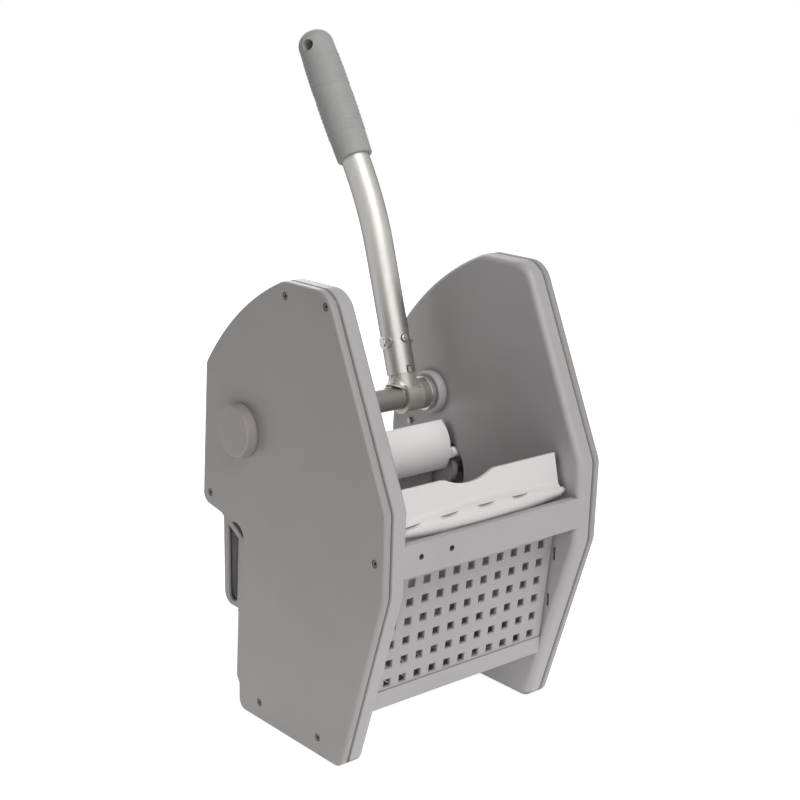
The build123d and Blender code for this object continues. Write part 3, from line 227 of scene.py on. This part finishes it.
# Finish of each slot in the record
# The crevice, seam and depth settings paint shade into the colour: darker crevices and contact corners, a dark
# seam groove, dark sieve holes
finishes = {
    "body_grey": dict(colour=srgb(173, 169, 170), rough=0.38, grain=0.15, crevice_shade=(0.012, 0.35), seam=0.5),
    "cover_grey": dict(colour=srgb(157, 152, 149), rough=0.36, grain=0.15, crevice_shade=(0.006, 0.4), seam=0.5),
    "sieve_grey": dict(colour=srgb(172, 169, 171), rough=0.5, grain=0.1, depth=0.25),
    "dark_screw": dict(colour=srgb(98, 94, 91), rough=0.3, metal=0.4, scale=300, crevice_shade=(0.0025, 0.1)),
    "shaft_steel": dict(colour=srgb(144, 139, 134), rough=0.5, metal=0.5, scale=60, stretch=(0.2, 1, 1)),
    "bush_plastic": dict(colour=srgb(184, 182, 182), rough=0.36, crevice_shade=(0.008, 0.35)),
    "bright_steel": dict(colour=srgb(196, 194, 192), rough=0.32, metal=0.8, scale=120),
    "link_steel": dict(colour=srgb(150, 150, 150), rough=0.4, metal=0.9, scale=60),
    "arm_grey": dict(colour=srgb(120, 118, 117), rough=0.5),
    "white_plastic": dict(colour=srgb(222, 219, 218), rough=0.45, mottle=0.015, crevice_shade=(0.004, 0.45)),
    "cast_grey": dict(colour=srgb(180, 178, 168), rough=0.45, metal=0.6, mottle=0.1, scale=60,
                      grain=0.3, grain_scale=500, crevice_shade=(0.006, 0.4)),
    "satin_tube": dict(colour=srgb(184, 181, 178), rough=0.46, metal=0.9, scale=160,
                       stretch=(1, 1, 0.03), grain=0.1, grain_scale=1200, edge=0.0),
    "grip_grey": dict(colour=srgb(165, 165, 163), rough=0.65, grain=0.2),
}
looks = {slot: surface(slot, **finish) for slot, finish in finishes.items()}

# Nodes in another finish than their slot's; the rear press plate's is a lighter copy of the white plastic, painted
# light that makes up for the shade it gets inside the chamber
by_node = {
    # lighter copy of the white plastic: painted light on the rear press plate
    "rear_press_plate": surface("white_plastic_rear_painted_light", srgb(243, 241, 240), 0.5, mottle=0.015),
    "wall_pins": looks["link_steel"],
}
for part in record["subparts"]:
    mesh = nodes[part["node"]].data
    mesh.materials.clear()
    mesh.materials.append(by_node.get(part["node"], looks[part["material_slot"]]))


def add_piece(name, points, faces, slot, body):
    """Smooth mesh piece that rides on a body and takes a record slot's finish."""
    mesh = bpy.data.meshes.new(name)
    mesh.from_pydata(points, [], faces)
    mesh.materials.append(looks[slot])
    for face in mesh.polygons:
        face.use_smooth = True
    made = bpy.data.objects.new(name, mesh)
    scene.collection.objects.link(made)
    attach(made, body)


def swept_rings(rings):
    """Points and faces of a closed skin through rings of equal length, the last joined to the first."""
    count = len(rings[0])
    points = [point for ring in rings for point in ring]
    faces = []
    for i in range(len(rings)):
        after = (i + 1) % len(rings)
        for j in range(count):
            k = (j + 1) % count
            faces.append((i * count + j, i * count + k, after * count + k, after * count + j))
    return points, faces


# Grip details: rings in two groups, and a raised lip round each mouth of the hanging hole
grip_along = Vector((0, -math.sin(GRIP_LEAN), -math.cos(GRIP_LEAN)))
hole_place = Vector(hang_hole["pos_m"])
hole_axis = Vector(hang_hole["axis"]).normalized()
hole_cross = grip_along.cross(hole_axis)
hole_r = hang_hole["dims"]["r_mm"] / 1000
# section of a lip: distance from the hole's axis, and height above the grip's skin
lip_section = [
    (hole_r, -0.0012),
    (hole_r + 0.0001, 0.0001),
    (hole_r + 0.0006, 0.0005),
    (hole_r + 0.0014, 0.0004),
    (hole_r + 0.0022, -0.0001),
    (hole_r + 0.0018, -0.0012),
]


def grip_radius(down):
    """Radius of the grip at a distance down from the hanging hole."""
    return GRIP_R + GRIP_BELLY * (1 - ((down - GRIP_BELLY_AT) / GRIP_HALF) ** 2)


def grip_rings(name, first, last, count, steps=8, turns=72):
    """Group of low rounded rings about the grip, the first and last at distances down from the hole."""
    points, faces = [], []
    for i in range(count):
        middle = first + (last - first) * i / (count - 1)
        section = []
        for k in range(steps + 1):
            bow = math.pi * k / steps
            along = middle - RING_HALF * math.cos(bow)
            section.append((along, grip_radius(along) + RING_HIGH * math.sin(bow) - RING_SEAT))
        section.append((middle + RING_HALF, grip_radius(middle) - RING_ROOT))
        section.append((middle - RING_HALF, grip_radius(middle) - RING_ROOT))
        rings = []
        for along, radius in section:
            ring = []
            for j in range(turns):
                angle = 2 * math.pi * j / turns
                spoke = math.cos(angle) * hole_axis + math.sin(angle) * hole_cross
                ring.append(hole_place + along * grip_along + radius * spoke)
            rings.append(ring)
        more_points, more_faces = swept_rings(rings)
        start = len(points)
        points += more_points
        faces += [tuple(start + v for v in face) for face in more_faces]
    add_piece(name, points, faces, "grip_grey", "handle")


def hang_lip(name, way, turns=48):
    """Raised lip round one mouth of the hanging hole, fitted to the round grip."""
    rings = []
    for reach, high in lip_section:
        ring = []
        for j in range(turns):
            angle = way * 2 * math.pi * j / turns
            along, across = reach * math.cos(angle), reach * math.sin(angle)
            out = math.sqrt((GRIP_R + high) ** 2 - across**2)
            ring.append(hole_place + along * grip_along + across * hole_cross + way * out * hole_axis)
        rings.append(ring)
    add_piece(name, *swept_rings(rings), "grip_grey", "handle")


grip_rings("grip_rings_upper", 0.0155, 0.0505, 8)
grip_rings("grip_rings_lower", 0.0640, 0.1060, 9)
hang_lip("hang_lip_left", 1)
hang_lip("hang_lip_right", -1)


# Tee casting: the fillet that a ball leaves as it rolls round the branch on the hub, and a thin collar
# that carries the fillet on past the hub's end
branch_axis = Vector((0, math.sin(BRANCH_LEAN), math.cos(BRANCH_LEAN)))
across_axis = branch_axis.cross(X_AXIS)
tee_middle = Vector((hang_hole["pos_m"][0], shaft.y, shaft.z))
ball_out = BRANCH_R + TEE_FILLET_R
ball_up = HUB_R + TEE_FILLET_R


def tee_point(along, across, up):
    """Point given along the shaft, across, and up the branch from where their axes meet."""
    return tee_middle + along * X_AXIS + across * across_axis + up * branch_axis


def tee_fillet(turns=96, steps=8):
    """Skin of the rolling ball between its lines on the branch and on the hub, with a hidden root."""
    rings = [[] for _ in range(steps + 3)]
    for j in range(turns):
        angle = 2 * math.pi * j / turns
        spoke = Vector((math.cos(angle), math.sin(angle), 0))
        rise = math.sqrt(ball_up**2 - (ball_out * spoke.y) ** 2)
        ball = Vector((ball_out * spoke.x, ball_out * spoke.y, rise))
        to_hub = -Vector((0, ball.y, ball.z)).normalized()
        for k in range(steps + 1):
            ray = (k / steps * to_hub - (1 - k / steps) * spoke).normalized()
            rings[k].append(tee_point(*(ball + TEE_FILLET_R * ray)))
        rings[-2].append(tee_point(*(ball + (TEE_FILLET_R + FILLET_SUNK) * to_hub)))
        rings[-1].append(tee_point(*(ball - (TEE_FILLET_R + FILLET_SUNK) * spoke)))
    add_piece("tee_fillet", *swept_rings(rings), "cast_grey", "handle")


def tee_collar(turns=96):
    """Thin collar on the hub. Where the fillet passes the hub's left end the collar follows it, and
    elsewhere it lies hidden under the hub's skin."""
    rings = [[] for _ in range(len(COLLAR_EDGE) + 2)]
    for j in range(turns):
        angle = 2 * math.pi * j / turns
        fillet_squared = ball_out**2 - (ball_up * math.sin(angle)) ** 2
        over = 0.0
        if fillet_squared > 0 and math.cos(angle) > 0:
            over = math.sqrt(fillet_squared) + COLLAR_PAST - HUB_LEFT
        end = -HUB_LEFT - max(over, 0.0)
        outer = HUB_R + (COLLAR_PROUD if over > 0 else -COLLAR_HIDDEN)
        section = [(-COLLAR_ROOT, outer)]
        section += [(end + inward, outer - deep) for inward, deep in COLLAR_EDGE]
        section.append((-COLLAR_ROOT, outer - COLLAR_THICK))
        for ring, (along, radius) in zip(rings, section):
            ring.append(tee_point(along, radius * math.sin(angle), radius * math.cos(angle)))
    add_piece("tee_collar", *swept_rings(rings), "cast_grey", "handle")


tee_fillet()
tee_collar()


# Camera at the photo's angle
azimuth, elevation, roll = (math.radians(a) for a in (AZIMUTH, ELEVATION, ROLL))
back = Vector((
    math.sin(azimuth) * math.cos(elevation),
    -math.cos(azimuth) * math.cos(elevation),
    math.sin(elevation),
))
right = Vector((math.cos(azimuth), math.sin(azimuth), 0))
up = back.cross(right)
level_right = math.cos(roll) * right + math.sin(roll) * up
level_up = -math.sin(roll) * right + math.cos(roll) * up
turned = Matrix((level_right, level_up, back)).transposed().to_4x4()
lens = bpy.data.cameras.new("camera")
lens.sensor_width = SENSOR_MM
lens.lens = LENS_MM
lens.clip_end = SIGHT_END
camera = bpy.data.objects.new("camera", lens)
scene.collection.objects.link(camera)
camera.matrix_world = Matrix.Translation(shaft + Vector(EYE_FROM_SHAFT)) @ turned
scene.camera = camera


def soft_light(name, place, side, watts):
    """Square soft box at a place, turned to the middle of the part."""
    lamp = bpy.data.lights.new(name, "AREA")
    lamp.shape = "RECTANGLE"
    lamp.size = side
    lamp.size_y = side
    lamp.energy = watts
    made = bpy.data.objects.new(name, lamp)
    scene.collection.objects.link(made)
    made.location = place
    aim = Vector(LAMP_AIM) - Vector(place)
    made.rotation_euler = aim.to_track_quat("-Z", "Y").to_euler()


for name, (place, side, watts) in LAMPS.items():
    soft_light(name, place, side, watts)


def seen_directly(tree):
    """Value that is 1 for rays from the camera and for those that metal or glass pass on."""
    path = node_of(tree, "ShaderNodeLightPath").outputs
    straight = worked(tree, "MAXIMUM", path["Is Camera Ray"], path["Is Glossy Ray"])
    return worked(tree, "MAXIMUM", straight, path["Is Transmission Ray"])


def mixed(tree, kind, first, second):
    """Shader node of a kind that joins two others, whose sockets for them are its last two."""
    made = node_of(tree, kind)
    tree.links.new(first.outputs[0], made.inputs[-2])
    tree.links.new(second.outputs[0], made.inputs[-1])
    return made


# White surroundings: plain white to the camera, soft fill to everything else
world = bpy.data.worlds.new("world")
scene.world = world
world.use_nodes = True
sky = world.node_tree
sky.nodes.clear()
ambient = node_of(sky, "ShaderNodeBackground", Color=AMBIENT_COLOUR, Strength=AMBIENT)
white = node_of(sky, "ShaderNodeBackground", Color=WHITE, Strength=1.0)
choose = mixed(sky, "ShaderNodeMixShader", ambient, white)
result = node_of(sky, "ShaderNodeOutputWorld")
sky.links.new(seen_directly(sky), choose.inputs[0])
sky.links.new(choose.outputs[0], result.inputs["Surface"])

# Pale floor: white to the camera, and giving back some light near the part
ground = bpy.data.materials.new("floor_white")
ground.use_nodes = True
tree = ground.node_tree
matt = tree.nodes["Principled BSDF"]
matt.inputs["Base Color"].default_value = FLOOR_COLOUR
matt.inputs["Roughness"].default_value = FLOOR_ROUGH
glow = node_of(tree, "ShaderNodeEmission", Color=WHITE, Strength=FLOOR_GLOW)
bounce = node_of(tree, "ShaderNodeEmission", Color=WHITE)
spot = node_of(tree, "ShaderNodeNewGeometry")
far = node_of(tree, "ShaderNodeVectorMath", operation="LENGTH")
tree.links.new(spot.outputs["Position"], far.inputs[0])
tree.links.new(eased(tree, far.outputs["Value"], BOUNCE_SPAN, (FLOOR_BOUNCE, 0.0)), bounce.inputs["Strength"])
lighting = mixed(tree, "ShaderNodeAddShader", matt, bounce)
shown = mixed(tree, "ShaderNodeAddShader", matt, glow)
pick = mixed(tree, "ShaderNodeMixShader", lighting, shown)
tree.links.new(seen_directly(tree), pick.inputs[0])
tree.links.new(pick.outputs[0], tree.nodes["Material Output"].inputs["Surface"])
bpy.ops.mesh.primitive_plane_add(size=FLOOR_SIZE, location=(0, 0, -FLOOR_DROP))
floor = bpy.context.object
floor.name = "floor"
floor.data.materials.append(ground)

scene.view_settings.view_transform = "Standard"
